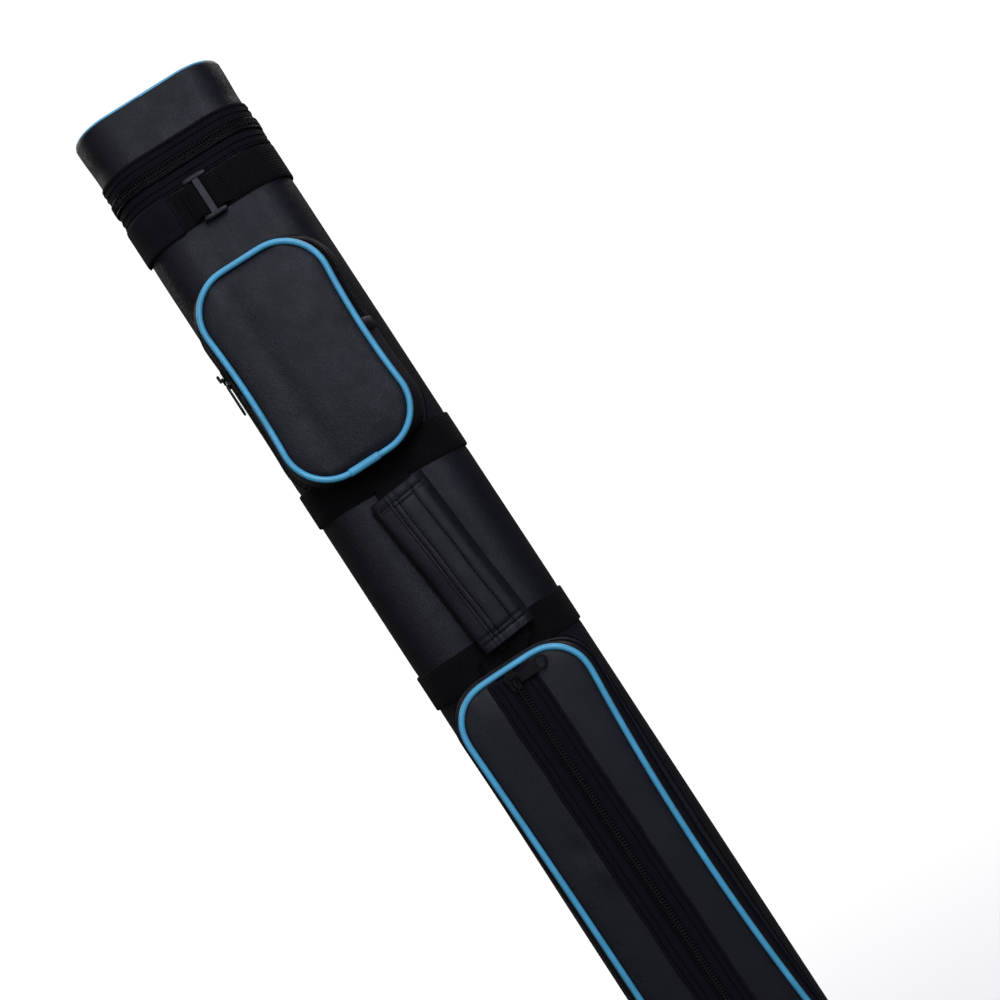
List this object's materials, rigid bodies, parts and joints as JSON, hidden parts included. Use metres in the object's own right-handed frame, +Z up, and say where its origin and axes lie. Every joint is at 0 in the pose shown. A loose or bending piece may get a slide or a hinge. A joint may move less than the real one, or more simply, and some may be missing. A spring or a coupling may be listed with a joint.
{
  "type": "cue case",
  "caption": "Oval hard tube cue case with hinged zipped lid, two zipped front pockets, padded grip, webbing bands and round bores for cue butts and shafts.",
  "frame": {"origin": "centre of the base, on the surface the case stands on", "axes": "+Z runs up the length of the case to the lid, -Y is the front with the pockets and the grip, +X is the right side seen from the front"},
  "size_m": [0.1139, 0.0876, 0.856],
  "materials": {
    "leatherette": "black leatherette, semi-matt, fine grain",
    "patch": "smooth velvety black",
    "piping": "sky-blue vinyl piping",
    "webbing": "woven black webbing",
    "zip_tape": "woven navy-black zip tape",
    "zip_coil": "nylon coil",
    "black_metal": "glossy black plated metal",
    "tube": "matt",
    "foam": "soft lined foam",
    "core": "matt moulded core",
    "bore_liner": "satin plastic tube"
  },
  "bodies": {
    "case": {"body_tube": "tube", "body_cover": "leatherette", "divider_core": "core", "divider_top": "core", "butt_tube_left": "bore_liner", "butt_tube_right": "bore_liner", "shaft_tube_front": "bore_liner", "shaft_tube_rear": "bore_liner", "bottom_pad": "foam", "base_plate": "tube", "base_cover": "leatherette", "base_piping": "piping", "case_zip_tape": "zip_tape", "case_zip_coil": "zip_coil", "lid_hinge": "webbing", "upper_band": "webbing", "upper_band_patch": "patch", "grip_band_top": "webbing", "grip_band_low": "webbing", "lower_band": "webbing", "lower_band_tail": "webbing", "upper_pocket_gusset": "leatherette", "upper_pocket_front": "leatherette", "upper_pocket_piping": "piping", "upper_pocket_tape": "zip_tape", "upper_pocket_coil": "zip_coil", "upper_pocket_tabs": "leatherette", "pocket_joiners": "piping", "lower_pocket_gusset": "leatherette", "lower_pocket_left": "leatherette", "lower_pocket_right": "leatherette", "lower_pocket_piping": "piping", "lower_pocket_tapes": "zip_tape", "lower_pocket_coil": "zip_coil", "lower_pocket_stops": "black_metal"},
    "lid": {"lid_shell": "tube", "lid_cover": "leatherette", "lid_top_panel": "leatherette", "lid_piping": "piping", "lid_zip_tape": "zip_tape", "lid_zip_coil": "zip_coil", "lid_pad": "foam"},
    "lid_slider": {"lid_zip_slider": "black_metal"},
    "lid_puller": {"lid_zip_puller": "black_metal"},
    "pocket_flap": {"flap_front": "leatherette", "flap_gusset": "leatherette", "flap_piping": "piping", "flap_tape": "zip_tape", "flap_coil": "zip_coil"},
    "upper_slider": {"upper_zip_slider": "black_metal"},
    "upper_puller": {"upper_zip_puller": "black_metal"},
    "lower_slider": {"lower_zip_slider": "black_metal"},
    "lower_puller": {"lower_zip_puller": "black_metal"},
    "grip": {"grip_cover": "leatherette", "grip_padding": "foam", "grip_webbing": "webbing"},
    "upper_tri_slide": {"upper_buckle": "black_metal", "upper_band_hump": "webbing"},
    "lower_tri_slide": {"lower_buckle": "black_metal", "lower_band_hump": "webbing"}
  },
  "joints": [
    {"name": "lid_swing", "type": "hinge", "parent": "case", "child": "lid", "pos_m": [0, 0.0291, 0.8055], "axis": [-1, 0, 0], "range_deg": [0, 120], "deforming": ["lid_hinge"]},
    {"name": "lid_zip_run", "type": "hinge", "parent": "case", "child": "lid_slider", "pos_m": [0.026, 0, 0.8033], "axis": [0, 0, 1], "range_deg": [-90, 0]},
    {"name": "lid_puller_swivel", "type": "hinge", "parent": "lid_slider", "child": "lid_puller", "pos_m": [0.05155, 0.01475, 0.8033], "axis": [0.866, 0.5, 0], "range_deg": [-30, 30]},
    {"name": "pocket_flap_fold", "type": "hinge", "parent": "case", "child": "pocket_flap", "pos_m": [0, -0.0558, 0.65], "axis": [1, 0, 0], "range_deg": [0, 60]},
    {"name": "upper_zip_run", "type": "slide", "parent": "case", "child": "upper_slider", "axis": [0, 0, 1], "range_m": [-0.006, 0.025]},
    {"name": "upper_puller_swivel", "type": "hinge", "parent": "upper_slider", "child": "upper_puller", "pos_m": [-0.0512, -0.044, 0.668], "axis": [-0.9952, -0.0976, 0], "range_deg": [-75, 75]},
    {"name": "lower_zip_run", "type": "slide", "parent": "case", "child": "lower_slider", "axis": [0.0126, 0, -0.9999], "range_m": [0, 0.325]},
    {"name": "lower_puller_swivel", "type": "hinge", "parent": "lower_slider", "child": "lower_puller", "pos_m": [-0.00471, -0.05295, 0.41249], "axis": [0, -1, 0], "range_deg": [-90, 60]},
    {"name": "grip_lift", "type": "slide", "parent": "case", "child": "grip", "axis": [0, -1, 0], "range_m": [0, 0.022], "deforming": ["grip_webbing"]},
    {"name": "upper_tri_slide_run", "type": "slide", "parent": "case", "child": "upper_tri_slide", "axis": [1, 0, 0], "range_m": [-0.007, 0.007]},
    {"name": "lower_tri_slide_run", "type": "slide", "parent": "case", "child": "lower_tri_slide", "axis": [0.9986, 0, 0.0523], "range_m": [-0.007, 0.003]}
  ]
}
